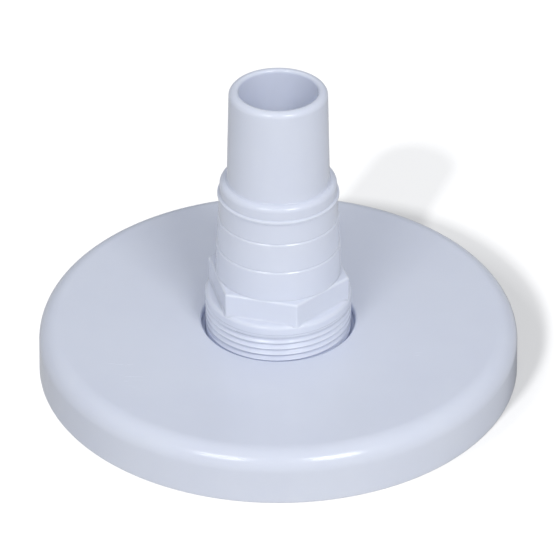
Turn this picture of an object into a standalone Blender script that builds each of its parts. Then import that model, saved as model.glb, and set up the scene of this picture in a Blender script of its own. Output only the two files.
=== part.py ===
"""Skimmer vacuum plate with a screw-in hose adapter. Metres, +Z up.

The plate stands rim down, centred on the Z axis with its rim at z = 0. A threaded socket sits in a
boss under the plate. The hose adapter screws into the socket and unscrews along +Z, turning
counter-clockwise seen from above. Every profile below is a list of (radius, height) points.
"""

import math

import bmesh
import bpy
from mathutils import Matrix

# Plate
PLATE_RADIUS = 0.0790
PLATE_HEIGHT = 0.0173
HOLE_EDGE_HEIGHT = 0.0163       # the top is slightly dished: it falls from the rolled edge to the hole
PLATE_WALL = 0.0028
PLATE_UNDERSIDE = HOLE_EDGE_HEIGHT - PLATE_WALL
PLATE_DRAFT = 0.0004            # how far the skirt leans in below the rolled edge
EDGE_ROLL = 0.0065
SKIRT_WALL = 0.0030
SKIRT_INNER_DRAFT = 0.0002
SKIRT_INNER_CORNER = 0.0006
RIM_CHAMFER = 0.0004
HOLE_RADIUS = 0.0253
HOLE_ROUNDING = 0.0005

# Underside of the plate
BOSS_INNER_RADIUS = 0.0273
BOSS_WALL = 0.0025
BOSS_FOOT = 0.0020
RING_RIB_OUTER_RADIUS = 0.0680
RING_RIB_WALL = 0.0015
RING_RIB_DEPTH = 0.0030
RIB_COUNT = 8
RIB_THICKNESS = 0.0016
RIB_DEPTH = 0.0045
RIB_SINK = 0.0006               # how far each rib runs into what it joins

# Thread, 38 mm pipe size: 11.5 turns to 25.4 mm
THREAD_PITCH = 0.0254 / 11.5
MALE_CREST_RADIUS = 0.0239
MALE_ROOT_RADIUS = 0.02255
MALE_ROOT_WIDTH = 0.00030
MALE_MOUTH_WIDTH = 0.00186
FEMALE_CREST_RADIUS = 0.0229
FEMALE_ROOT_RADIUS = 0.0242
FEMALE_ROOT_WIDTH = 0.00041
FEMALE_MOUTH_WIDTH = 0.00191
FLANK_OVERRUN = 0.00005         # how far a thread cutter's flanks run past the surface that it cuts
GROOVE_OVERRUN = 0.0004         # how far the whole cutter reaches past it
GROOVE_TOP = 0.0239             # height of the male groove's upper end, at the back
MALE_TURNS = 9
FEMALE_TURNS = 5
FEMALE_DROP = 9                 # turns from the male groove's upper end down to the socket's first

# Socket
SOCKET_RADIUS = 0.0270
SOCKET_TOP = 0.0132
SOCKET_FLANGE_RADIUS = 0.0298
SOCKET_FLANGE_TOP = 0.0017
SOCKET_BOTTOM = 0.0008
SOCKET_LEDGE_RADIUS = 0.0175
SOCKET_LEDGE_TOP = 0.0024
SOCKET_MOUTH_RADIUS = 0.0244

# Seals
WASHER_INNER_RADIUS = 0.0198
WASHER_OUTER_RADIUS = 0.0224
WASHER_BOTTOM = 0.0027
WASHER_TOP = 0.0047
GASKET_INNER_RADIUS = 0.0683
GASKET_OUTER_RADIUS = 0.0750
GASKET_BOTTOM = 0.0112
GASKET_TOP = 0.0132

# Hose adapter, from the bottom up
NOSE_RADIUS = 0.0194
NOSE_BOTTOM = 0.0029
THREAD_BOTTOM = 0.0050
THREAD_LEAD_IN = 0.0015
RELIEF_BOTTOM = 0.0240
RELIEF_TOP = 0.02505
RELIEF_DEPTH = 0.0003
COLLAR_TOP = 0.0281
COLLAR_CHAMFER = 0.0004
HEX_ACROSS_FLATS = 0.0411
HEX_TOP = 0.0359
HEX_ROOT = 0.0015               # how far the hexagon is sunk into the collar
HEX_TURN = math.radians(14.5)   # how far one corner stands from the front, towards +X
BANDS = (                       # bottom height, bottom radius, top height, top radius
    (0.0350, 0.0204, 0.0459, 0.0201),
    (0.0463, 0.01985, 0.0560, 0.0195),
    (0.0564, 0.01925, 0.0636, 0.0190),
)
RING_BOTTOM = 0.0638
RING_TOP = 0.0647
RING_RADIUS = 0.0195
RING_EDGE = 0.0003
LEDGE_TOP = 0.06505             # the shoulder flares out to the stop ring from here down
SHOULDER_RADIUS = 0.01875
SHOULDER_HEIGHT = 0.06775
SHOULDER_ROUNDING = 0.0018
TUBE_FILLET = 0.0006
TUBE_FOOT_RADIUS = 0.01642
TUBE_TOP_RADIUS = 0.0156
TUBE_ROUNDING = 0.0020
ADAPTER_TOP = 0.1017
BORE_TOP_RADIUS = 0.0126
BORE_NECK = (0.0132, 0.0720)    # radius and height where the tube's bore starts to widen
BORE_THROAT = (0.0166, 0.0620)
BORE_NOSE_RADIUS = 0.0176
BORE_LAND = 0.0010              # straight stretch at each end of the bore

PLATE_STEPS = 72
ADAPTER_STEPS = 48
CUTTER_MARGIN = 0.0040
MERGE = 0.00001

# Thread cutters start half a facet round from the facets that they cut, so no edges coincide.
GROOVE_AZIMUTH = math.pi / 2 + math.pi / ADAPTER_STEPS


def clear_scene():
    for obj in list(bpy.data.objects):
        bpy.data.objects.remove(obj, do_unlink=True)


def new_collection(name):
    collection = bpy.data.collections.new(name)
    bpy.context.scene.collection.children.link(collection)
    return collection


def make_material(name, colour, roughness):
    material = bpy.data.materials.new(name)
    material.use_nodes = True
    shader = material.node_tree.nodes["Principled BSDF"]
    shader.inputs["Base Color"].default_value = (*colour, 1.0)
    shader.inputs["Roughness"].default_value = roughness
    shader.inputs["Metallic"].default_value = 0.0
    return material


def arc(centre, radii, start, end, count):
    """Points on an ellipse from start to end degrees, both ends included."""
    points = []
    for step in range(count + 1):
        angle = math.radians(start + (end - start) * step / count)
        points.append((centre[0] + radii[0] * math.cos(angle),
                       centre[1] + radii[1] * math.sin(angle)))
    return points


def profile_object(name, points, closed, collection):
    mesh = bpy.data.meshes.new(name)
    edges = [(i, i + 1) for i in range(len(points) - 1)]
    if closed:
        edges.append((len(points) - 1, 0))
    mesh.from_pydata([(radius, 0.0, height) for radius, height in points], edges, [])
    obj = bpy.data.objects.new(name, mesh)
    collection.objects.link(obj)
    return obj


def turned(name, points, closed, steps, collection):
    """Turn a profile about Z. It runs down its outer side; an open one starts and ends on the axis."""
    obj = profile_object(name, points, closed, collection)
    screw = obj.modifiers.new("turn", "SCREW")
    screw.axis = "Z"
    screw.steps = steps
    screw.render_steps = steps
    screw.use_merge_vertices = True
    screw.merge_threshold = MERGE
    screw.use_smooth_shade = True
    return obj


def hide_cutter(obj):
    obj.hide_render = True
    obj.display_type = "WIRE"
    return obj


def apply_boolean(obj, cutter, operation):
    boolean = obj.modifiers.new(cutter.name, "BOOLEAN")
    boolean.operation = operation
    boolean.solver = "EXACT"
    boolean.object = cutter


def helical_groove(name, profile, turns, azimuth, collection):
    """A closed cutter that sweeps a (radius, height) outline up a right-hand helix from azimuth."""
    guide = profile_object(name + "_outline", profile, True, collection)
    guide.rotation_euler.z = azimuth
    screw = guide.modifiers.new("sweep", "SCREW")
    screw.axis = "Z"
    screw.steps = ADAPTER_STEPS
    screw.render_steps = ADAPTER_STEPS
    screw.screw_offset = THREAD_PITCH
    screw.iterations = turns
    screw.use_merge_vertices = False
    bpy.context.view_layer.update()
    evaluated = guide.evaluated_get(bpy.context.evaluated_depsgraph_get())
    mesh = bpy.data.meshes.new_from_object(evaluated)
    mesh.name = name
    cutter = bpy.data.objects.new(name, mesh)
    cutter.matrix_world = guide.matrix_world.copy()
    collection.objects.link(cutter)
    bpy.data.objects.remove(guide, do_unlink=True)

    sweep = bmesh.new()
    sweep.from_mesh(mesh)
    bmesh.ops.remove_doubles(sweep, verts=sweep.verts, dist=MERGE)
    bmesh.ops.holes_fill(sweep, edges=[edge for edge in sweep.edges if edge.is_boundary], sides=0)
    bmesh.ops.recalc_face_normals(sweep, faces=sweep.faces)
    sweep.to_mesh(mesh)
    sweep.free()
    return hide_cutter(cutter)


def groove_outline(bottom_radius, bottom_width, surface_radius, surface_width, height):
    """Trapezoid groove in a cylinder; its flanks run on past the surface, then it goes straight out."""
    outward = math.copysign(1.0, surface_radius - bottom_radius)
    flare = (surface_width - bottom_width) / abs(surface_radius - bottom_radius)
    mouth_radius = surface_radius + outward * FLANK_OVERRUN
    mouth_width = surface_width + flare * FLANK_OVERRUN
    far_radius = surface_radius + outward * GROOVE_OVERRUN
    return [
        (bottom_radius, height - bottom_width / 2),
        (mouth_radius, height - mouth_width / 2),
        (far_radius, height - mouth_width / 2),
        (far_radius, height + mouth_width / 2),
        (mouth_radius, height + mouth_width / 2),
        (bottom_radius, height + bottom_width / 2),
    ]


def plate_profile():
    roll_centre = (PLATE_RADIUS - PLATE_DRAFT - EDGE_ROLL, PLATE_HEIGHT - EDGE_ROLL)
    skirt_radius = PLATE_RADIUS - SKIRT_WALL
    skirt_top_radius = skirt_radius - SKIRT_INNER_DRAFT
    rib_inner = RING_RIB_OUTER_RADIUS - RING_RIB_WALL
    boss_outer = BOSS_INNER_RADIUS + BOSS_WALL
    points = arc(roll_centre, (EDGE_ROLL, EDGE_ROLL), 90, 0, 8)
    points += [
        (PLATE_RADIUS, RIM_CHAMFER),
        (PLATE_RADIUS - RIM_CHAMFER, 0.0),
        (skirt_radius, 0.0),
        (skirt_top_radius, PLATE_UNDERSIDE - SKIRT_INNER_CORNER),
        (skirt_top_radius - SKIRT_INNER_CORNER, PLATE_UNDERSIDE),
        (RING_RIB_OUTER_RADIUS, PLATE_UNDERSIDE),
        (RING_RIB_OUTER_RADIUS, PLATE_UNDERSIDE - RING_RIB_DEPTH),
        (rib_inner, PLATE_UNDERSIDE - RING_RIB_DEPTH),
        (rib_inner, PLATE_UNDERSIDE),
        (boss_outer, PLATE_UNDERSIDE),
        (boss_outer, BOSS_FOOT),
        (BOSS_INNER_RADIUS, BOSS_FOOT),
        (BOSS_INNER_RADIUS, PLATE_UNDERSIDE),
        (HOLE_RADIUS, PLATE_UNDERSIDE),
    ]
    rounding_centre = (HOLE_RADIUS + HOLE_ROUNDING, HOLE_EDGE_HEIGHT - HOLE_ROUNDING)
    points += arc(rounding_centre, (HOLE_ROUNDING, HOLE_ROUNDING), 180, 90, 3)
    return points


def radial_ribs(collection):
    """Straight ribs under the plate from the boss to the ring rib, as one cutter to be joined on."""
    start = BOSS_INNER_RADIUS + BOSS_WALL - RIB_SINK
    end = RING_RIB_OUTER_RADIUS - RING_RIB_WALL + RIB_SINK
    bottom = PLATE_UNDERSIDE - RIB_DEPTH
    top = PLATE_UNDERSIDE + RIB_SINK
    size = Matrix.Diagonal((end - start, RIB_THICKNESS, top - bottom, 1.0))
    place = Matrix.Translation(((start + end) / 2, 0.0, (bottom + top) / 2))
    ribs = bmesh.new()
    for index in range(RIB_COUNT):
        turn = Matrix.Rotation(math.tau * (index + 0.5) / RIB_COUNT, 4, "Z")
        bmesh.ops.create_cube(ribs, size=1.0, matrix=turn @ place @ size)
    mesh = bpy.data.meshes.new("radial_ribs")
    ribs.to_mesh(mesh)
    ribs.free()
    obj = bpy.data.objects.new("radial_ribs", mesh)
    collection.objects.link(obj)
    return hide_cutter(obj)


def make_vacuum_plate(parts, cutters):
    plate = turned("vacuum_plate", plate_profile(), True, PLATE_STEPS, parts)
    apply_boolean(plate, radial_ribs(cutters), "UNION")
    return plate


def make_threaded_socket(parts, cutters):
    mouth_chamfer = SOCKET_MOUTH_RADIUS - FEMALE_CREST_RADIUS
    socket = turned("threaded_socket", [
        (SOCKET_RADIUS, SOCKET_TOP),
        (SOCKET_RADIUS, SOCKET_FLANGE_TOP),
        (SOCKET_FLANGE_RADIUS, SOCKET_FLANGE_TOP),
        (SOCKET_FLANGE_RADIUS, SOCKET_BOTTOM),
        (SOCKET_LEDGE_RADIUS, SOCKET_BOTTOM),
        (SOCKET_LEDGE_RADIUS, SOCKET_LEDGE_TOP),
        (FEMALE_CREST_RADIUS, SOCKET_LEDGE_TOP),
        (FEMALE_CREST_RADIUS, SOCKET_TOP - mouth_chamfer),
        (SOCKET_MOUTH_RADIUS, SOCKET_TOP),
    ], True, ADAPTER_STEPS, parts)
    # The female groove holds the male ridge, so it starts half a turn round from the male groove.
    outline = groove_outline(FEMALE_ROOT_RADIUS, FEMALE_ROOT_WIDTH, FEMALE_CREST_RADIUS,
                             FEMALE_MOUTH_WIDTH, GROOVE_TOP - FEMALE_DROP * THREAD_PITCH)
    groove = helical_groove("socket_groove", outline, FEMALE_TURNS, GROOVE_AZIMUTH + math.pi, cutters)
    apply_boolean(socket, groove, "DIFFERENCE")
    return socket


def make_ring(name, inner, outer, bottom, top, steps, parts):
    return turned(name, [(outer, top), (outer, bottom), (inner, bottom), (inner, top)], True, steps, parts)


def shoulder_curve():
    """Tube into fillet into rounded shoulder: two arcs that meet without a corner, top to bottom."""
    convex = (SHOULDER_RADIUS - SHOULDER_ROUNDING, SHOULDER_HEIGHT)
    reach = SHOULDER_ROUNDING + TUBE_FILLET
    across = TUBE_FOOT_RADIUS + TUBE_FILLET - convex[0]
    up = math.sqrt(reach ** 2 - across ** 2)
    concave = (convex[0] + across, convex[1] + up)
    meet = math.degrees(math.atan2(up, across))
    fillet = arc(concave, (TUBE_FILLET, TUBE_FILLET), 180, 180 + meet, 4)
    shoulder = arc(convex, (SHOULDER_ROUNDING, SHOULDER_ROUNDING), meet, 0, 4)
    return fillet + shoulder[1:]


def adapter_profile():
    points = [(0.0, ADAPTER_TOP)]
    rim_centre = (TUBE_TOP_RADIUS - TUBE_ROUNDING, ADAPTER_TOP - TUBE_ROUNDING)
    points += arc(rim_centre, (TUBE_ROUNDING, TUBE_ROUNDING), 90, 0, 3)
    points += shoulder_curve()
    points += [
        (SHOULDER_RADIUS, LEDGE_TOP),
        (RING_RADIUS, RING_TOP),
        (RING_RADIUS, RING_BOTTOM + RING_EDGE),
        (RING_RADIUS - RING_EDGE, RING_BOTTOM),
    ]
    for bottom, bottom_radius, top, top_radius in reversed(BANDS):
        points += [(top_radius, top), (bottom_radius, bottom)]
    points += [
        (BANDS[0][1], COLLAR_TOP),
        (MALE_CREST_RADIUS - COLLAR_CHAMFER, COLLAR_TOP),
        (MALE_CREST_RADIUS, COLLAR_TOP - COLLAR_CHAMFER),
        (MALE_CREST_RADIUS, RELIEF_TOP),
        (MALE_CREST_RADIUS - RELIEF_DEPTH, RELIEF_TOP - RELIEF_DEPTH / 2),
        (MALE_CREST_RADIUS, RELIEF_BOTTOM),
        (MALE_CREST_RADIUS, THREAD_BOTTOM + THREAD_LEAD_IN),
        (MALE_CREST_RADIUS - THREAD_LEAD_IN, THREAD_BOTTOM),
        (NOSE_RADIUS, THREAD_BOTTOM),
        (NOSE_RADIUS, NOSE_BOTTOM),
        (0.0, NOSE_BOTTOM),
    ]
    return points


def hexagon(collection):
    mesh = bpy.data.meshes.new("wrench_hexagon")
    prism = bmesh.new()
    radius = HEX_ACROSS_FLATS / 2 / math.cos(math.pi / 6)
    bottom = COLLAR_TOP - HEX_ROOT
    middle = Matrix.Translation((0.0, 0.0, (bottom + HEX_TOP) / 2))
    turn = Matrix.Rotation(HEX_TURN - math.pi, 4, "Z")      # the prism's first corner points to +Y
    bmesh.ops.create_cone(prism, cap_ends=True, segments=6, radius1=radius, radius2=radius,
                          depth=HEX_TOP - bottom, matrix=middle @ turn)
    prism.to_mesh(mesh)
    prism.free()
    obj = bpy.data.objects.new("wrench_hexagon", mesh)
    collection.objects.link(obj)
    return hide_cutter(obj)


def adapter_bore(collection):
    bore = turned("adapter_bore", [
        (0.0, ADAPTER_TOP + CUTTER_MARGIN),
        (BORE_TOP_RADIUS, ADAPTER_TOP + CUTTER_MARGIN),
        (BORE_TOP_RADIUS, ADAPTER_TOP - BORE_LAND),
        BORE_NECK,
        BORE_THROAT,
        (BORE_NOSE_RADIUS, NOSE_BOTTOM + BORE_LAND),
        (BORE_NOSE_RADIUS, NOSE_BOTTOM - CUTTER_MARGIN),
        (0.0, NOSE_BOTTOM - CUTTER_MARGIN),
    ], False, ADAPTER_STEPS, collection)
    return hide_cutter(bore)


def make_hose_adapter(parts, cutters):
    adapter = turned("hose_adapter", adapter_profile(), False, ADAPTER_STEPS, parts)
    apply_boolean(adapter, hexagon(cutters), "UNION")
    apply_boolean(adapter, adapter_bore(cutters), "DIFFERENCE")
    outline = groove_outline(MALE_ROOT_RADIUS, MALE_ROOT_WIDTH, MALE_CREST_RADIUS, MALE_MOUTH_WIDTH,
                             GROOVE_TOP - MALE_TURNS * THREAD_PITCH)
    groove = helical_groove("adapter_groove", outline, MALE_TURNS, GROOVE_AZIMUTH, cutters)
    apply_boolean(adapter, groove, "DIFFERENCE")
    return adapter


def main():
    clear_scene()
    parts = new_collection("skimmer_vacuum_plate")
    cutters = new_collection("cutters")
    plate_white = make_material("plate_white_abs", (0.80, 0.83, 0.91), 0.16)
    adapter_white = make_material("adapter_white_abs", (0.80, 0.83, 0.91), 0.18)
    socket_white = make_material("socket_white_abs", (0.78, 0.81, 0.89), 0.30)
    washer_rubber = make_material("washer_black_rubber", (0.02, 0.02, 0.022), 0.70)
    gasket_rubber = make_material("gasket_grey_rubber", (0.06, 0.06, 0.065), 0.85)

    plate = make_vacuum_plate(parts, cutters)
    socket = make_threaded_socket(parts, cutters)
    adapter = make_hose_adapter(parts, cutters)
    washer = make_ring("seal_washer", WASHER_INNER_RADIUS, WASHER_OUTER_RADIUS,
                       WASHER_BOTTOM, WASHER_TOP, ADAPTER_STEPS, parts)
    gasket = make_ring("rim_gasket", GASKET_INNER_RADIUS, GASKET_OUTER_RADIUS,
                       GASKET_BOTTOM, GASKET_TOP, PLATE_STEPS, parts)

    plate.data.materials.append(plate_white)
    socket.data.materials.append(socket_white)
    adapter.data.materials.append(adapter_white)
    washer.data.materials.append(washer_rubber)
    gasket.data.materials.append(gasket_rubber)


main()
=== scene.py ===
"""Looks of the skimmer vacuum plate with its screw-in hose adapter. Metres, +Z up, front at -Y."""

import math

import bmesh
import bpy
import numpy as np
from mathutils import Matrix, Vector


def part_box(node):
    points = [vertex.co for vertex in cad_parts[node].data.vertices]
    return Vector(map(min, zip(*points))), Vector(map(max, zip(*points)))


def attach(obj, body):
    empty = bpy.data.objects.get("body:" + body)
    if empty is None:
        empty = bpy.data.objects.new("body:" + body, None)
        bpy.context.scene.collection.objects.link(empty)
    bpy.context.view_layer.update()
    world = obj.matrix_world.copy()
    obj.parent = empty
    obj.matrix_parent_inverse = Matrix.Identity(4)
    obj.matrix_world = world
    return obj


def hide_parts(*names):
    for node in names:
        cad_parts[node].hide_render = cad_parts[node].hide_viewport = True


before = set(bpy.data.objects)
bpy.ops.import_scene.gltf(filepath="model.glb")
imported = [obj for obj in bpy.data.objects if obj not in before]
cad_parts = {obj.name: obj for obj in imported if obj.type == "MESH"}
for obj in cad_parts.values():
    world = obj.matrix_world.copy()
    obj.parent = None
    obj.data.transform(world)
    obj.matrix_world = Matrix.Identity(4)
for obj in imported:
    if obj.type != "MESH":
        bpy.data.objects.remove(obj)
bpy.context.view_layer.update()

MM = 0.001
MERGE = 0.002 * MM
# Curvature attribute: it drives the rubbed-edge wear and the painted shade in hollows
WEAR_AND_SHADE_CURVATURE = "wear_and_hollow_shade"
NOISE_OFFSET = (3.71, 5.37, 1.93)   # keeps the noise's own grid planes off the object's centre
SUPPORT = 0.25 * MM              # loops this far from each rounding keep wide faces flat

# Sizes that the frame gives
PLATE_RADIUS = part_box("vacuum_plate")[1].x
PLATE_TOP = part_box("vacuum_plate")[1].z
SOCKET_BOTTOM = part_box("threaded_socket")[0].z
SOCKET_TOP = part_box("threaded_socket")[1].z
FLANGE_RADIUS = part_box("threaded_socket")[1].x
NOSE_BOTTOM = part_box("hose_adapter")[0].z
ADAPTER_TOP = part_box("hose_adapter")[1].z
WASHER_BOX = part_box("seal_washer")
GASKET_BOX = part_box("rim_gasket")

# Plate
PLATE_COLUMNS = 288
HOLE_TOP = PLATE_TOP - 1.0 * MM  # the top is slightly dished towards the hole
PLATE_UNDERSIDE = HOLE_TOP - 2.8 * MM
EDGE_ROLL = 6.5 * MM
SKIRT_DRAFT = 0.4 * MM
SKIRT_WALL = 3.0 * MM
HOLE_RADIUS = 25.3 * MM
BOSS_INNER = 27.3 * MM
BOSS_WALL = 2.5 * MM
BOSS_FOOT = 2.0 * MM
RING_RIB_OUTER = 68.0 * MM
RING_RIB_WALL = 1.5 * MM
RING_RIB_DEPTH = 3.0 * MM
RIB_COUNT = 8
RIB_THICKNESS = 1.6 * MM
RIB_DEPTH = 4.5 * MM
EJECTOR_RADIUS = 2.5 * MM
EJECTOR_CIRCLE = 55.0 * MM

# Thread, 38 mm pipe size
PITCH = 25.4 * MM / 11.5
GROOVE_TOP = 23.9 * MM           # height of the male groove's upper end
GROOVE_FADE = 1.6 * MM           # the groove gets shallower over this height below its upper end
GROOVE_AZIMUTH = math.radians(50.0)   # angle from +X at which the groove's centre is at GROOVE_TOP
MALE_CREST = 23.9 * MM
MALE_DEPTH = 1.10 * MM
FEMALE_CREST = 22.9 * MM
FEMALE_DEPTH = 1.3 * MM
THREAD_SOFTNESS = 0.25 * MM
GROOVE_HALF_MOUTH = 0.42         # half the groove's width at its mouth, as a share of the pitch
FLANK_SLOPE = math.tan(math.radians(60))
THREAD_BOTTOM = 5.0 * MM
LEAD_IN = 1.5 * MM
FLAT_FROM = 14.5 * MM            # above this the male thread is filled in beside the mould's parting line
FLAT_FULL = 16.0 * MM
FLAT_DEPTH = 0.10                # share of the groove's depth that is left there
FLAT_EDGE = (math.radians(26), math.radians(40))

# Socket and seals
SOCKET_LEDGE_RADIUS = 17.5 * MM
SOCKET_LEDGE_TOP = 2.4 * MM
SOCKET_FLANGE_TOP = 1.7 * MM
SOCKET_RADIUS = 27.0 * MM
SOCKET_MOUTH = 24.4 * MM
SOCKET_LIP = 0.1 * MM            # bevel on the upper edge of the mouth's chamfer
WASHER_INNER = 19.8 * MM
GASKET_INNER = 68.3 * MM

# Hose adapter
ADAPTER_SECTORS = 240
NOSE_RADIUS = 19.4 * MM
RELIEF_BOTTOM = 23.95 * MM
RELIEF_DEEPEST = 24.7 * MM
RELIEF_TOP = 25.1 * MM
RELIEF_DEPTH = 0.3 * MM
COLLAR_TOP = 28.1 * MM
COLLAR_ROUNDING = 1.2 * MM
HEX_APOTHEM = 20.55 * MM
HEX_CORNER = 0.8 * MM
HEX_EDGE = 0.7 * MM
HEX_TOP = 35.9 * MM
HEX_TURN = math.radians(14.5)    # one corner stands this far from the front, towards +X
HEX_FOOT = 0.7 * MM
BANDS = (                        # bottom height, bottom radius, top height, top radius
    (35.9 * MM, 20.40 * MM, 45.9 * MM, 20.10 * MM),
    (46.4 * MM, 19.85 * MM, 56.0 * MM, 19.50 * MM),
    (56.5 * MM, 19.25 * MM, 63.6 * MM, 19.00 * MM),
)
BAND_EDGE = 0.27 * MM
STEP_GROOVE = 0.12 * MM          # each step is undercut this deep
STEP_GROOVE_RISE = 0.30 * MM
RING_BOTTOM = 63.8 * MM
RING_TOP = 64.7 * MM
RING_RADIUS = 19.5 * MM
LEDGE_TOP = 65.05 * MM           # the shoulder flares out to the stop ring from here down
SHOULDER_RADIUS = 18.75 * MM
SHOULDER_HEIGHT = 67.75 * MM
SHOULDER_ROUNDING = 1.8 * MM
TUBE_FILLET = 0.6 * MM
TUBE_FOOT_RADIUS = 16.42 * MM
TUBE_TOP_RADIUS = 15.6 * MM
TUBE_ROUNDING = 2.0 * MM
BORE_ROUNDING = 0.9 * MM
BORE_TOP_RADIUS = 12.6 * MM
BORE_NECK = (13.2 * MM, 72.0 * MM)
BORE_THROAT = (16.6 * MM, 62.0 * MM)
BORE_NOSE_RADIUS = 17.6 * MM


# ---------------------------------------------------------------- outlines

def arc(centre, radii, start, end, count):
    """Points on an ellipse from start to end degrees, both ends included, with no rounding."""
    angles = np.radians(np.linspace(start, end, count + 1))
    return [(centre[0] + radii[0] * math.cos(a), centre[1] + radii[1] * math.sin(a), 0.0) for a in angles]


def corner_arc(before, corner, after, steps):
    """The corner (radius, height, rounding) as an arc that is tangent to both of its sides."""
    here = np.array(corner[:2])
    back = np.array(before[:2]) - here
    ahead = np.array(after[:2]) - here
    back = back / np.linalg.norm(back)
    ahead = ahead / np.linalg.norm(ahead)
    half = math.acos(back @ ahead) / 2
    inward = (back + ahead) / np.linalg.norm(back + ahead)
    centre = here + inward * corner[2] / math.sin(half)
    middle = math.atan2(-inward[1], -inward[0])
    sweep = math.pi / 2 - half
    if back[0] * ahead[1] - back[1] * ahead[0] < 0:
        sweep = -sweep
    angles = middle + sweep * np.linspace(1, -1, steps + 1)
    return [(centre[0] + corner[2] * math.cos(a), centre[1] + corner[2] * math.sin(a)) for a in angles]


def rounded(corners, closed=True, steps=4):
    """Plain points of an outline of (radius, height, rounding) corners, with loops beside each rounding."""
    count = len(corners)
    runs = []
    for index, corner in enumerate(corners):
        at_end = not closed and index in (0, count - 1)
        if corner[2] == 0.0 or at_end:
            runs.append([tuple(corner[:2])])
        else:
            runs.append(corner_arc(corners[index - 1], corner, corners[(index + 1) % count], steps))
    points = []
    for index, run in enumerate(runs):
        points += run
        if index + 1 == count and not closed:
            break
        start = Vector(run[-1])
        end = Vector(runs[(index + 1) % count][0])
        gap = (end - start).length
        if gap > 4 * SUPPORT:
            points.append(tuple(start.lerp(end, SUPPORT / gap)))
            points.append(tuple(start.lerp(end, 1 - SUPPORT / gap)))
    return points


# ---------------------------------------------------------------- meshes

def store_curvature_for_wear_and_shade(mesh):
    """Stores the mean curvature in 1/mm at each vertex: positive on outer edges, which the material lightens
    as rubbed wear, negative in hollows, where the material paints shade.
    """
    work = bmesh.new()
    work.from_mesh(mesh)
    bends = np.zeros(len(work.verts))
    areas = np.full(len(work.verts), 1e-12)
    for edge in work.edges:
        bend = edge.calc_face_angle_signed(0.0) * edge.calc_length()
        for vertex in edge.verts:
            bends[vertex.index] += bend
    for face in work.faces:
        share = face.calc_area() / len(face.verts)
        for vertex in face.verts:
            areas[vertex.index] += share
    work.free()
    attribute = mesh.attributes.new(WEAR_AND_SHADE_CURVATURE, "FLOAT", "POINT")
    attribute.data.foreach_set("value", bends / (4 * areas) * MM)


def ring_object(name, columns):
    """Closed ring from columns, each of them an angle and its list of (radius, height) rows."""
    rows = len(columns[0][1])
    vertices = []
    for angle, outline in columns:
        cosine = math.cos(angle)
        sine = math.sin(angle)
        vertices += [(radius * cosine, radius * sine, height) for radius, height in outline]
    faces = []
    for column in range(len(columns) - 1):
        left = column * rows
        right = left + rows
        for row in range(rows):
            below = (row + 1) % rows
            faces.append((left + row, left + below, right + below, right + row))
    mesh = bpy.data.meshes.new(name)
    mesh.from_pydata(vertices, [], faces)
    work = bmesh.new()
    work.from_mesh(mesh)
    bmesh.ops.remove_doubles(work, verts=work.verts, dist=MERGE)
    bmesh.ops.recalc_face_normals(work, faces=work.faces)
    work.to_mesh(mesh)
    work.free()
    mesh.shade_smooth()
    store_curvature_for_wear_and_shade(mesh)
    obj = bpy.data.objects.new(name, mesh)
    bpy.context.scene.collection.objects.link(obj)
    return obj


def turned(name, outline, count):
    return ring_object(name, [(math.tau * k / count, outline) for k in range(count + 1)])


def soft_step(value, low, high):
    share = min(1.0, max(0.0, (value - low) / (high - low)))
    return share * share * (3 - 2 * share)


def soft_positive(value):
    """Like max(value, 0), rounded off over about THREAD_SOFTNESS."""
    return (value + math.hypot(value, THREAD_SOFTNESS) - THREAD_SOFTNESS * 0.4) / 2


def groove_depth(height, angle, centre, full_depth, top):
    """Depth of a 60 degree groove whose centre rises one PITCH a turn; it runs out at the height top."""
    middle = centre + PITCH * angle / math.tau
    offset = (height - middle + PITCH / 2) % PITCH - PITCH / 2
    flank = (PITCH * GROOVE_HALF_MOUTH - abs(offset)) * FLANK_SLOPE
    cut = soft_positive(flank) - soft_positive(flank - full_depth)
    fade = 1 - soft_step(height - offset, top - GROOVE_FADE, top)
    return max(0.0, cut) * fade


GROOVE_ROWS = (-0.5, -0.42, -0.355, -0.24, -0.125, -0.06, 0.0, 0.06, 0.125, 0.24, 0.355, 0.42)


def thread_heights(angle, centre, low, high):
    """Row heights along the grooves at this angle, from low to high, clamped to that span."""
    start = centre + PITCH * angle / math.tau
    first = math.floor((low - centre) / PITCH) - 2
    last = math.ceil((high - centre) / PITCH) + 1
    heights = []
    for turn in range(first, last + 1):
        heights += [start + (turn + share) * PITCH for share in GROOVE_ROWS]
    return [low] + [min(high, max(low, height)) for height in heights] + [high]


# ---------------------------------------------------------------- vacuum plate

def plate_outline():
    roll_radius = PLATE_RADIUS - SKIRT_DRAFT - EDGE_ROLL
    skirt_inner = PLATE_RADIUS - SKIRT_WALL
    skirt_top = skirt_inner - 0.2 * MM
    rib_inner = RING_RIB_OUTER - RING_RIB_WALL
    rib_foot = PLATE_UNDERSIDE - RING_RIB_DEPTH
    boss_outer = BOSS_INNER + BOSS_WALL
    corners = arc((roll_radius, PLATE_TOP - EDGE_ROLL), (EDGE_ROLL, EDGE_ROLL), 90, 0, 20)
    corners += [
        (PLATE_RADIUS, 0.0, 0.35 * MM),
        (skirt_inner, 0.0, 0.35 * MM),
        (skirt_top, PLATE_UNDERSIDE, 0.6 * MM),
        (RING_RIB_OUTER + 0.05 * MM, PLATE_UNDERSIDE, 0.3 * MM),
        (RING_RIB_OUTER, rib_foot, 0.25 * MM),
        (rib_inner, rib_foot, 0.25 * MM),
        (rib_inner - 0.05 * MM, PLATE_UNDERSIDE, 0.3 * MM),
        (boss_outer + 0.1 * MM, PLATE_UNDERSIDE, 0.5 * MM),
        (boss_outer, BOSS_FOOT, 0.4 * MM),
        (BOSS_INNER, BOSS_FOOT, 0.3 * MM),
        (BOSS_INNER, PLATE_UNDERSIDE, 0.2 * MM),
        (HOLE_RADIUS, PLATE_UNDERSIDE, 0.3 * MM),
        (HOLE_RADIUS, HOLE_TOP, 0.8 * MM),
    ]
    return rounded(corners)


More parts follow.
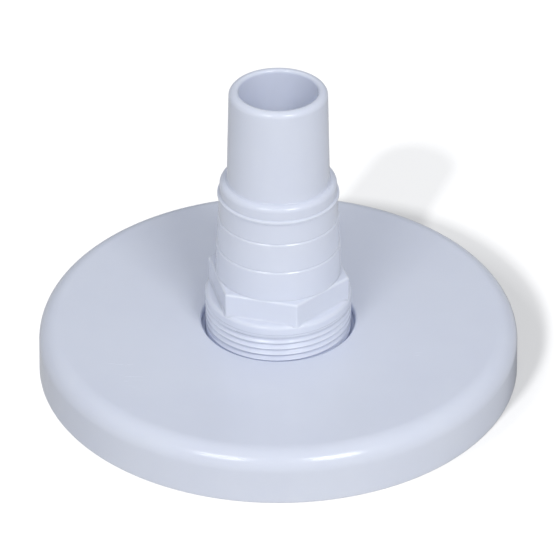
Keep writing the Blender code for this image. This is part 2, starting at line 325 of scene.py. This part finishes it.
def rib_section():
    """Cross-section of a radial rib: rounded lower edges, slight draft, and fillets at the plate."""
    half = RIB_THICKNESS / 2
    top = PLATE_UNDERSIDE + 0.6 * MM
    foot = PLATE_UNDERSIDE - RIB_DEPTH
    fillet = 0.5 * MM
    side = [(half + 0.05 * MM + fillet, top, 0.0)]
    side += arc((half + 0.05 * MM + fillet, PLATE_UNDERSIDE - fillet), (fillet, fillet), 90, 180, 4)
    side += [(half, foot, 0.35 * MM)]
    mirrored = [(-across, height, rounding) for across, height, rounding in reversed(side)]
    return rounded(side + mirrored, steps=3)


def radial_ribs():
    """The ribs between the boss and the ring rib, each sunk a little into both."""
    section = rib_section()
    start = BOSS_INNER + BOSS_WALL - 0.6 * MM
    end = RING_RIB_OUTER - RING_RIB_WALL + 0.6 * MM
    work = bmesh.new()
    for index in range(RIB_COUNT):
        turn = Matrix.Rotation(math.tau * (index + 0.5) / RIB_COUNT, 4, "Z")
        loops = []
        for along in (start, end):
            points = [Vector((along, across, height)) for across, height in section]
            loops.append([work.verts.new(turn @ point) for point in points])
        count = len(section)
        for k in range(count):
            work.faces.new((loops[0][k], loops[0][(k + 1) % count], loops[1][(k + 1) % count], loops[1][k]))
        work.faces.new(loops[0])
        work.faces.new(loops[1])
    bmesh.ops.recalc_face_normals(work, faces=work.faces)
    mesh = bpy.data.meshes.new("ribs")
    work.to_mesh(mesh)
    work.free()
    obj = bpy.data.objects.new("ribs", mesh)
    bpy.context.scene.collection.objects.link(obj)
    return obj


def ejector_marks():
    """Shallow discs that the ejector pins leave on the underside, one in each bay between two ribs."""
    work = bmesh.new()
    depth = 0.6 * MM
    for index in range(RIB_COUNT):
        turn = Matrix.Rotation(math.tau * index / RIB_COUNT, 4, "Z")
        place = Matrix.Translation((EJECTOR_CIRCLE, 0.0, PLATE_UNDERSIDE - depth / 2 + 0.2 * MM))
        bmesh.ops.create_cone(work, cap_ends=True, segments=32, depth=depth, matrix=turn @ place,
                              radius1=EJECTOR_RADIUS, radius2=EJECTOR_RADIUS)
    mesh = bpy.data.meshes.new("ejector_marks")
    work.to_mesh(mesh)
    work.free()
    obj = bpy.data.objects.new("ejector_marks", mesh)
    bpy.context.scene.collection.objects.link(obj)
    return obj


def apply_boolean(obj, cutter, operation):
    boolean = obj.modifiers.new(cutter.name, "BOOLEAN")
    boolean.operation = operation
    boolean.solver = "MANIFOLD"
    boolean.object = cutter
    evaluated = obj.evaluated_get(bpy.context.evaluated_depsgraph_get())
    mesh = bpy.data.meshes.new_from_object(evaluated)
    mesh.name = obj.name
    obj.modifiers.clear()
    obj.data = mesh
    bpy.data.objects.remove(cutter, do_unlink=True)


def make_plate():
    plate = turned("plate_moulding", plate_outline(), PLATE_COLUMNS)
    plate.data.attributes.remove(plate.data.attributes[WEAR_AND_SHADE_CURVATURE])
    apply_boolean(plate, radial_ribs(), "UNION")
    apply_boolean(plate, ejector_marks(), "DIFFERENCE")
    store_curvature_for_wear_and_shade(plate.data)
    plate.data.shade_smooth()
    plate.data.set_sharp_from_angle(angle=math.radians(38))
    return plate


# ---------------------------------------------------------------- hose adapter

def shoulder_curve():
    """Tube into fillet into rounded shoulder: two arcs that meet without a corner, top to bottom."""
    convex = (SHOULDER_RADIUS - SHOULDER_ROUNDING, SHOULDER_HEIGHT)
    reach = SHOULDER_ROUNDING + TUBE_FILLET
    across = TUBE_FOOT_RADIUS + TUBE_FILLET - convex[0]
    up = math.sqrt(reach ** 2 - across ** 2)
    concave = (convex[0] + across, convex[1] + up)
    meet = math.degrees(math.atan2(up, across))
    fillet = arc(concave, (TUBE_FILLET, TUBE_FILLET), 180, 180 + meet, 8)
    shoulder = arc(convex, (SHOULDER_ROUNDING, SHOULDER_ROUNDING), meet, 0, 8)
    return fillet + shoulder[1:]


def upper_outline():
    """From the bore's mouth over the rim and down the outside to the foot of the lowest band."""
    rim_centre = (TUBE_TOP_RADIUS - TUBE_ROUNDING, ADAPTER_TOP - TUBE_ROUNDING)
    corners = [(BORE_TOP_RADIUS, ADAPTER_TOP - 1.1 * MM, 0.0)]
    corners += [(BORE_TOP_RADIUS, ADAPTER_TOP, BORE_ROUNDING)]
    corners += arc(rim_centre, (TUBE_ROUNDING, TUBE_ROUNDING), 90, 0, 8)
    corners += shoulder_curve()
    corners += [
        (SHOULDER_RADIUS, LEDGE_TOP, 0.3 * MM),
        (RING_RADIUS, RING_TOP, 0.2 * MM),
        (RING_RADIUS, RING_BOTTOM, 0.2 * MM),
        (BANDS[-1][3], RING_BOTTOM, 0.1 * MM),
    ]
    for bottom, bottom_radius, top, top_radius in reversed(BANDS):
        if top < BANDS[-1][2]:
            corners += [(top_radius, top, BAND_EDGE)]
        if bottom > BANDS[0][0]:
            corners += [(bottom_radius, bottom + STEP_GROOVE_RISE, 0.15 * MM)]
            corners += [(bottom_radius - STEP_GROOVE, bottom, 0.10 * MM)]
    corners += [(BANDS[0][1], BANDS[0][0], 0.0)]
    return rounded(corners, closed=False)


def lower_outline():
    """From the thread's foot round the nose and up the bore."""
    return rounded([
        (MALE_CREST - LEAD_IN, THREAD_BOTTOM, 0.0),
        (NOSE_RADIUS, THREAD_BOTTOM, 0.3 * MM),
        (NOSE_RADIUS, NOSE_BOTTOM, 0.4 * MM),
        (BORE_NOSE_RADIUS, NOSE_BOTTOM, 0.4 * MM),
        (*BORE_THROAT, 2.0 * MM),
        (*BORE_NECK, 2.0 * MM),
        (BORE_TOP_RADIUS, ADAPTER_TOP - 1.2 * MM, 0.0),
    ], closed=False)


def hexagon_radius(angle):
    """Radius of the hexagon with rounded corners, at an angle about Z."""
    from_corner = (angle + math.pi / 2 - HEX_TURN + math.pi / 6) % (math.pi / 3) - math.pi / 6
    centre = (HEX_APOTHEM - HEX_CORNER) / math.cos(math.pi / 6)
    tangent = math.atan2(HEX_CORNER * 0.5, centre + HEX_CORNER * math.cos(math.pi / 6))
    if abs(from_corner) > tangent:
        return HEX_APOTHEM / math.cos(math.pi / 6 - abs(from_corner))
    across = centre * math.sin(from_corner)
    return centre * math.cos(from_corner) + math.sqrt(HEX_CORNER ** 2 - across ** 2)


def edge_height(radius, outer, top, rounding):
    """Height of a flat top at this radius, with its outer edge rounded off."""
    over = max(0.0, radius - (outer - rounding))
    return top - rounding + math.sqrt(max(0.0, rounding ** 2 - over ** 2))


HEX_SHARES = [math.sin(math.pi / 2 * k / 8) for k in range(9)]


def hexagon_outline(angle):
    """The hexagon's top and wall and the collar's top at this angle, outwards and down."""
    outer = hexagon_radius(angle)
    inner = BANDS[0][1]
    points = []
    for share in HEX_SHARES:
        radius = inner + (outer - inner) * share
        points.append((radius, edge_height(radius, outer, HEX_TOP, HEX_EDGE)))
    foot = min(outer + HEX_FOOT, MALE_CREST - 0.1 * MM)
    foot_height = edge_height(foot, MALE_CREST, COLLAR_TOP, COLLAR_ROUNDING)
    points += [(outer, HEX_TOP - HEX_EDGE - SUPPORT), (outer, foot_height + HEX_FOOT + SUPPORT)]
    fillet = arc((foot, foot_height + HEX_FOOT), (foot - outer, HEX_FOOT), 180, 270, 5)
    points += [point[:2] for point in fillet[:-1]]
    for share in HEX_SHARES:
        radius = foot + (MALE_CREST - foot) * share
        points.append((radius, edge_height(radius, MALE_CREST, COLLAR_TOP, COLLAR_ROUNDING)))
    return points


def relief_outline():
    """Collar wall and the shallow ring between the collar and the thread."""
    return rounded([
        (MALE_CREST, COLLAR_TOP - COLLAR_ROUNDING - SUPPORT, 0.0),
        (MALE_CREST, RELIEF_TOP, 0.15 * MM),
        (MALE_CREST - RELIEF_DEPTH, RELIEF_DEEPEST, 0.10 * MM),
        (MALE_CREST, RELIEF_BOTTOM, 0.0),
    ], closed=False)


def groove_share(angle, height):
    """How much of the male groove's depth is left beside the parting line of the mould's two halves."""
    from_line = abs((angle + math.pi / 2) % math.pi - math.pi / 2)
    filled = (1 - soft_step(from_line, *FLAT_EDGE)) * soft_step(height, FLAT_FROM, FLAT_FULL)
    return 1 - (1 - FLAT_DEPTH) * filled


def male_thread(angle):
    """Thread rows at this angle, top to bottom."""
    centre = GROOVE_TOP - PITCH * GROOVE_AZIMUTH / math.tau
    points = []
    for height in reversed(thread_heights(angle, centre, THREAD_BOTTOM, RELIEF_BOTTOM)):
        cut = groove_depth(height, angle, centre, MALE_DEPTH, GROOVE_TOP) * groove_share(angle, height)
        lead_in = MALE_CREST - LEAD_IN + (height - THREAD_BOTTOM)
        points.append((min(MALE_CREST - cut, lead_in), height))
    return points


def adapter_angles():
    """Even steps, with more of them across each corner of the hexagon."""
    angles = {round(math.tau * k / ADAPTER_SECTORS, 9) for k in range(ADAPTER_SECTORS + 1)}
    for corner in range(6):
        middle = (HEX_TURN - math.pi / 2 + corner * math.pi / 3) % math.tau
        for step in range(-5, 6):
            angles.add(round((middle + math.radians(0.15) * step) % math.tau, 9))
    angles = sorted(angles)
    kept = angles[:1]
    for angle in angles[1:]:
        if angle - kept[-1] > math.radians(0.12):
            kept.append(angle)
    kept[-1] = math.tau
    return kept


def make_adapter():
    upper = upper_outline()
    lower = lower_outline()
    relief = relief_outline()
    columns = []
    for angle in adapter_angles():
        outline = upper[:-1] + hexagon_outline(angle) + relief + male_thread(angle) + lower
        columns.append((angle, outline))
    return ring_object("hose_spigot", columns)


# ---------------------------------------------------------------- socket and seals

def make_socket():
    crest_top = SOCKET_TOP - (SOCKET_MOUTH - FEMALE_CREST)
    outside = rounded([
        (SOCKET_MOUTH + SOCKET_LIP, SOCKET_TOP, 0.0),
        (SOCKET_RADIUS, SOCKET_TOP, 0.3 * MM),
        (SOCKET_RADIUS, SOCKET_FLANGE_TOP, 0.15 * MM),
        (FLANGE_RADIUS, SOCKET_FLANGE_TOP, 0.25 * MM),
        (FLANGE_RADIUS, SOCKET_BOTTOM, 0.25 * MM),
        (SOCKET_LEDGE_RADIUS, SOCKET_BOTTOM, 0.3 * MM),
        (SOCKET_LEDGE_RADIUS, SOCKET_LEDGE_TOP, 0.3 * MM),
        (FEMALE_CREST, SOCKET_LEDGE_TOP, 0.0),
    ], closed=False)
    centre = GROOVE_TOP - PITCH * (GROOVE_AZIMUTH / math.tau + 0.5)
    columns = []
    for k in range(ADAPTER_SECTORS + 1):
        angle = math.tau * k / ADAPTER_SECTORS
        inside = []
        for height in thread_heights(angle, centre, SOCKET_LEDGE_TOP, SOCKET_TOP - SOCKET_LIP):
            depth = groove_depth(height, angle, centre, FEMALE_DEPTH, GROOVE_TOP)
            depth *= soft_step(height, SOCKET_LEDGE_TOP, SOCKET_LEDGE_TOP + 0.6 * MM)
            inside.append((FEMALE_CREST + max(depth, height - crest_top), height))
        columns.append((angle, outside + inside))
    return ring_object("socket_moulding", columns)


def make_seal(name, box, inner, rounding, count):
    """A flat ring as tall and as wide as the CAD's box."""
    low = box[0].z
    high = box[1].z
    outer = box[1].x
    return turned(name, rounded([
        (outer, high, rounding),
        (outer, low, rounding),
        (inner, low, rounding),
        (inner, high, rounding),
    ]), count)


# ---------------------------------------------------------------- materials

class Shader:
    """A material under construction: adds nodes and links by name."""

    def __init__(self, name):
        self.material = bpy.data.materials.new(name)
        self.material.use_nodes = True
        self.nodes = self.material.node_tree.nodes
        self.links = self.material.node_tree.links
        self.principled = self.nodes["Principled BSDF"]
        self.position = self.nodes.new("ShaderNodeTexCoord").outputs["Object"]

    def link(self, source, target):
        self.links.new(source, target)

    def noise(self, wavelength, detail=3.0, turn=(0.4, 0.7, 0.2), squeeze=(1.0, 1.0, 1.0)):
        """Noise with features about wavelength metres wide, off the axes and squeezed along one if asked."""
        mapping = self.nodes.new("ShaderNodeMapping")
        mapping.inputs["Location"].default_value = NOISE_OFFSET
        mapping.inputs["Rotation"].default_value = turn
        mapping.inputs["Scale"].default_value = squeeze
        self.link(self.position, mapping.inputs["Vector"])
        texture = self.nodes.new("ShaderNodeTexNoise")
        texture.inputs["Scale"].default_value = 1.0 / wavelength
        texture.inputs["Detail"].default_value = detail
        texture.inputs["Lacunarity"].default_value = 2.17
        self.link(mapping.outputs["Vector"], texture.inputs["Vector"])
        return texture.outputs["Fac"]

    def cells(self, wavelength):
        texture = self.nodes.new("ShaderNodeTexVoronoi")
        texture.inputs["Scale"].default_value = 1.0 / wavelength
        self.link(self.position, texture.inputs["Vector"])
        return texture.outputs["Distance"]

    def span(self, value, low, high, to_low, to_high):
        """Maps low..high to to_low..to_high, clamped and smoothed."""
        node = self.nodes.new("ShaderNodeMapRange")
        node.interpolation_type = "SMOOTHSTEP"
        node.inputs["From Min"].default_value = low
        node.inputs["From Max"].default_value = high
        node.inputs["To Min"].default_value = to_low
        node.inputs["To Max"].default_value = to_high
        self.link(value, node.inputs["Value"])
        return node.outputs["Result"]

    def math(self, operation, first, second):
        node = self.nodes.new("ShaderNodeMath")
        node.operation = operation
        for socket, value in zip(node.inputs, (first, second)):
            if isinstance(value, (int, float)):
                socket.default_value = value
            else:
                self.link(value, socket)
        return node.outputs["Value"]

    def mix(self, factor, first, second):
        node = self.nodes.new("ShaderNodeMix")
        node.data_type = "RGBA"
        for name, value in (("Factor", factor), ("A", first), ("B", second)):
            kind = "VALUE" if name == "Factor" else "RGBA"
            socket = next(s for s in node.inputs if s.name == name and s.type == kind)
            if isinstance(value, tuple):
                socket.default_value = (*value, 1.0)
            else:
                self.link(value, socket)
        return next(s for s in node.outputs if s.type == "RGBA")

    def bump(self, height, strength, distance, previous=None):
        node = self.nodes.new("ShaderNodeBump")
        node.inputs["Strength"].default_value = strength
        node.inputs["Distance"].default_value = distance
        self.link(height, node.inputs["Height"])
        if previous is not None:
            self.link(previous, node.inputs["Normal"])
        return node.outputs["Normal"]

    def wear_and_hollow_shade(self):
        """The mesh's stored curvature: above zero on outer edges, which are rubbed, below it in hollows,
        which get painted shade.
        """
        node = self.nodes.new("ShaderNodeAttribute")
        node.attribute_name = WEAR_AND_SHADE_CURVATURE
        return node.outputs["Fac"]


def shade(colour, factor):
    return tuple(min(1.0, channel * factor) for channel in colour)


def scratches(shader):
    """Sparse hairline scuffs in three directions: 1 on a scratch, 0 elsewhere."""
    total = None
    for turn, squeeze in ((0.35, 26.0), (1.45, 30.0), (2.5, 22.0)):
        lines = shader.noise(0.012, 2.0, (0.3, 0.0, turn), (1.0, squeeze, 1.0))
        thin = shader.span(lines, 0.66, 0.71, 0.0, 1.0)
        total = thin if total is None else shader.math("MAXIMUM", total, thin)
    patches = shader.span(shader.noise(0.03, 2.0), 0.54, 0.68, 0.0, 1.0)
    return shader.math("MULTIPLY", total, patches)


def moulded_plastic(name, colour, roughness):
    """Glossy injection-moulded ABS: faint clouding, orange peel, hairline scuffs, rubbed edges and painted
    shade in hollows.
    """
    shader = Shader(name)
    cloud = shader.noise(0.035, 4.0)
    fine = shader.noise(0.0035, 3.0)
    scuff = scratches(shader)
    edge = shader.wear_and_hollow_shade()
    rubbed = shader.span(edge, 0.25, 1.2, 0.0, 1.0)
    # Painted shade: a mask that is strongest in hollows and creases
    painted_hollow_shade = shader.span(edge, -1.5, -0.3, 0.8, 0.0)

    base = shader.mix(shader.span(cloud, 0.3, 0.7, 0.0, 1.0), shade(colour, 0.985), shade(colour, 1.012))
    # Painted shade: the base colour is darkened in hollows and creases
    base = shader.mix(painted_hollow_shade, base, shade(colour, 0.88))
    base = shader.mix(shader.math("MULTIPLY", rubbed, 0.6), base, shade(colour, 1.05))
    base = shader.mix(shader.math("MULTIPLY", scuff, 0.12), base, shade(colour, 1.05))
    shader.link(base, shader.principled.inputs["Base Color"])

    gloss = shader.span(fine, 0.3, 0.7, roughness - 0.015, roughness + 0.015)
    gloss = shader.math("ADD", gloss, shader.span(cloud, 0.35, 0.7, 0.0, 0.03))
    gloss = shader.math("ADD", gloss, shader.math("MULTIPLY", scuff, 0.10))
    gloss = shader.math("ADD", gloss, shader.math("MULTIPLY", rubbed, 0.05))
    shader.link(gloss, shader.principled.inputs["Roughness"])

    peel = shader.bump(shader.noise(0.0016, 2.0), 0.06, 0.00004)
    wave = shader.bump(shader.noise(0.011, 2.0), 0.10, 0.0002, peel)
    normal = shader.bump(scuff, 0.15, -0.00001, wave)
    shader.link(normal, shader.principled.inputs["Normal"])
    shader.principled.inputs["IOR"].default_value = 1.50
    shader.principled.inputs["Specular IOR Level"].default_value = 0.5
    shader.principled.inputs["Subsurface Weight"].default_value = 0.5
    shader.principled.inputs["Subsurface Radius"].default_value = (1.0, 1.0, 1.0)
    shader.principled.inputs["Subsurface Scale"].default_value = 1.2 * MM
    return shader.material


def rubber(name, colour, roughness, grain, depth):
    """Matte rubber with a fine grain and painted shade in its pits; a coarser grain reads as closed-cell
    sponge.
    """
    shader = Shader(name)
    cloud = shader.noise(0.012, 3.0)
    pores = shader.cells(grain)
    base = shader.mix(shader.span(cloud, 0.3, 0.75, 0.0, 1.0), colour, shade(colour, 1.7))
    # Painted shade: the colour is darker towards the middle of each pore, where the bump makes a pit
    base = shader.mix(shader.span(pores, 0.0, 0.5, 0.35, 0.0), base, shade(colour, 0.5))
    shader.link(base, shader.principled.inputs["Base Color"])
    shader.link(shader.span(cloud, 0.3, 0.7, roughness - 0.07, roughness + 0.07),
                shader.principled.inputs["Roughness"])
    shader.link(shader.bump(pores, 0.5, depth), shader.principled.inputs["Normal"])
    shader.principled.inputs["Specular IOR Level"].default_value = 0.35
    return shader.material


# ---------------------------------------------------------------- stage, light and camera

LIGHT_DISTANCE = 3.0
FLOOR_LIGHT_DISTANCE = 30.0
LIGHT_TARGET = (0.0, 0.0, 0.03)
FLOOR_GLOW = 0.32                # the floor's own light, which keeps it near white in soft shadow
FLOOR_SEEN = (0.35, 0.35, 0.35, 1.0)
FLOOR_REFLECTED = (0.23, 0.23, 0.23, 1.0)
SKY_TINT = (0.925, 0.96, 1.05)
SKY_LEVEL = 0.42                 # strength of the surroundings, before the three changes below
SKY_BEHIND = -0.34               # change in strength towards +Y, as a share of SKY_LEVEL
SKY_UPWARD = 0.27                # the same towards +Z
SKY_SIDEWAYS = -0.35             # the same towards both sides, with the square of X
BACKDROP = 1.15
FLOOR_SIZE = 8.0
CAMERA_PLACE = (0.0, -0.77747, 0.53951)
CAMERA_TILT = 0.5795             # radians below the level
CAMERA_LENS = 183.35             # millimetres, on a sensor 36 mm wide
CAMERA_SHIFT = 0.00306


def look_at(obj, target):
    direction = Vector(target) - obj.location
    obj.rotation_euler = direction.to_track_quat("-Z", "Y").to_euler()


def around(azimuth, elevation, distance, target):
    """Point at an azimuth from the front, positive towards +X, and an elevation, both in degrees."""
    turn = math.radians(azimuth)
    rise = math.radians(elevation)
    return Vector(target) + distance * Vector((math.sin(turn) * math.cos(rise),
                                               -math.cos(turn) * math.cos(rise), math.sin(rise)))


def softbox(name, azimuth, elevation, size, power, receivers, blockers=None, distance=LIGHT_DISTANCE):
    """A square area light that only lights the receivers; only the blockers, if given, shade it."""
    data = bpy.data.lights.new(name, "AREA")
    data.shape = "SQUARE"
    data.size = size
    data.energy = power
    lamp = bpy.data.objects.new(name, data)
    bpy.context.scene.collection.objects.link(lamp)
    lamp.location = around(azimuth, elevation, distance, LIGHT_TARGET)
    look_at(lamp, LIGHT_TARGET)
    lamp.light_linking.receiver_collection = receivers
    if blockers is not None:
        lamp.light_linking.blocker_collection = blockers


def floor_light(name, azimuth, elevation, spread, power, receivers, blockers):
    """A light on the floor alone, far enough off to light it evenly; spread is its width in degrees."""
    size = FLOOR_LIGHT_DISTANCE * math.radians(spread)
    softbox(name, azimuth, elevation, size, power, receivers, blockers, FLOOR_LIGHT_DISTANCE)


def make_floor():
    work = bmesh.new()
    bmesh.ops.create_grid(work, x_segments=8, y_segments=8, size=FLOOR_SIZE)
    mesh = bpy.data.meshes.new("floor")
    work.to_mesh(mesh)
    work.free()
    floor = bpy.data.objects.new("floor", mesh)
    bpy.context.scene.collection.objects.link(floor)
    material = bpy.data.materials.new("white_floor")
    material.use_nodes = True
    nodes = material.node_tree.nodes
    links = material.node_tree.links
    shader = nodes["Principled BSDF"]
    shader.inputs["Base Color"].default_value = FLOOR_SEEN
    shader.inputs["Roughness"].default_value = 1.0
    shader.inputs["Specular IOR Level"].default_value = 0.0
    shader.inputs["Emission Color"].default_value = (1.0, 1.0, 1.0, 1.0)
    shader.inputs["Emission Strength"].default_value = FLOOR_GLOW
    dim = nodes.new("ShaderNodeBsdfDiffuse")
    dim.inputs["Color"].default_value = FLOOR_REFLECTED
    path = nodes.new("ShaderNodeLightPath")
    choose = nodes.new("ShaderNodeMixShader")
    links.new(path.outputs["Is Camera Ray"], choose.inputs["Fac"])
    links.new(dim.outputs["BSDF"], choose.inputs[1])
    links.new(shader.outputs["BSDF"], choose.inputs[2])
    links.new(choose.outputs["Shader"], nodes["Material Output"].inputs["Surface"])
    mesh.materials.append(material)
    return floor


def make_world():
    """Soft surroundings, dimmer behind and at the sides, and a plain backdrop to the camera."""
    world = bpy.data.worlds.new("studio")
    world.use_nodes = True
    nodes = world.node_tree.nodes
    links = world.node_tree.links
    split = nodes.new("ShaderNodeSeparateXYZ")
    links.new(nodes.new("ShaderNodeTexCoord").outputs["Generated"], split.inputs["Vector"])
    forward = nodes.new("ShaderNodeMath")
    forward.operation = "MULTIPLY_ADD"
    forward.inputs[1].default_value = SKY_BEHIND * SKY_LEVEL
    forward.inputs[2].default_value = SKY_LEVEL
    links.new(split.outputs["Y"], forward.inputs[0])
    upward = nodes.new("ShaderNodeMath")
    upward.operation = "MULTIPLY_ADD"
    upward.inputs[1].default_value = SKY_UPWARD * SKY_LEVEL
    links.new(split.outputs["Z"], upward.inputs[0])
    links.new(forward.outputs["Value"], upward.inputs[2])
    sideways = nodes.new("ShaderNodeMath")
    sideways.operation = "MULTIPLY"
    links.new(split.outputs["X"], sideways.inputs[0])
    links.new(split.outputs["X"], sideways.inputs[1])
    strength = nodes.new("ShaderNodeMath")
    strength.operation = "MULTIPLY_ADD"
    strength.inputs[1].default_value = SKY_SIDEWAYS * SKY_LEVEL
    links.new(sideways.outputs["Value"], strength.inputs[0])
    links.new(upward.outputs["Value"], strength.inputs[2])
    surroundings = nodes["Background"]
    surroundings.inputs["Color"].default_value = (*SKY_TINT, 1.0)
    links.new(strength.outputs["Value"], surroundings.inputs["Strength"])
    white = nodes.new("ShaderNodeBackground")
    white.inputs["Strength"].default_value = BACKDROP
    path = nodes.new("ShaderNodeLightPath")
    choose = nodes.new("ShaderNodeMixShader")
    links.new(path.outputs["Is Camera Ray"], choose.inputs["Fac"])
    links.new(surroundings.outputs["Background"], choose.inputs[1])
    links.new(white.outputs["Background"], choose.inputs[2])
    links.new(choose.outputs["Shader"], nodes["World Output"].inputs["Surface"])
    bpy.context.scene.world = world


def make_camera():
    data = bpy.data.cameras.new("camera")
    data.sensor_width = 36.0
    data.lens = CAMERA_LENS
    data.shift_x = CAMERA_SHIFT
    data.clip_start = 0.01
    data.clip_end = 50.0
    camera = bpy.data.objects.new("camera", data)
    bpy.context.scene.collection.objects.link(camera)
    camera.location = CAMERA_PLACE
    camera.rotation_euler = (math.pi / 2 - CAMERA_TILT, 0.0, 0.0)
    bpy.context.scene.camera = camera


# ---------------------------------------------------------------- assembly

def new_collection(name, pieces):
    collection = bpy.data.collections.new(name)
    for piece in pieces:
        collection.objects.link(piece)
    return collection


def place(piece, node, body, slot, material):
    piece.data.materials.clear()
    piece.data.materials.append(material)
    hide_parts(node)
    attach(piece, body)


make_camera()

PLASTIC = (0.79, 0.825, 0.925)
plate_plastic = moulded_plastic("plate_plastic", PLASTIC, 0.15)
adapter_plastic = moulded_plastic("adapter_plastic", PLASTIC, 0.15)
socket_plastic = moulded_plastic("socket_plastic", shade(PLASTIC, 0.98), 0.30)
washer_rubber = rubber("washer_rubber", (0.020, 0.020, 0.022), 0.62, 0.0004, 0.00002)
gasket_rubber = rubber("gasket_sponge", (0.060, 0.060, 0.065), 0.82, 0.0009, 0.00008)

plate = make_plate()
place(plate, "vacuum_plate", "plate", "plate_abs", plate_plastic)
socket = make_socket()
place(socket, "threaded_socket", "plate", "socket_abs", socket_plastic)
spigot = make_adapter()
place(spigot, "hose_adapter", "adapter", "adapter_abs", adapter_plastic)
washer = make_seal("nose_washer", WASHER_BOX, WASHER_INNER, 0.35 * MM, 144)
place(washer, "seal_washer", "seal", "washer_rubber", washer_rubber)
gasket = make_seal("sponge_gasket", GASKET_BOX, GASKET_INNER, 0.4 * MM, 240)
place(gasket, "rim_gasket", "plate", "gasket_rubber", gasket_rubber)

floor = make_floor()
lit_pieces = new_collection("lit_pieces", (plate, socket, spigot, washer, gasket))
lit_floor = new_collection("lit_floor", (floor,))
plate_only = new_collection("plate_only", (plate,))
spigot_only = new_collection("spigot_only", (spigot,))
# Azimuth and elevation in degrees, width in metres or degrees, power in watts
softbox("right_softbox", 28.0, 41.0, 1.0, 27.8, lit_pieces)
softbox("left_softbox", -28.0, 41.0, 1.0, 18.4, lit_pieces)
floor_light("floor_key", -22.0, 37.0, 2.3, 7400.0, lit_floor, spigot_only)
floor_light("floor_back", -32.0, 30.0, 7.6, 15700.0, lit_floor, plate_only)
floor_light("floor_side", -60.0, 42.0, 15.0, 4250.0, lit_floor, plate_only)
make_world()
bpy.context.scene.view_settings.view_transform = "Standard"
bpy.context.scene.cycles.diffuse_bounces = 10
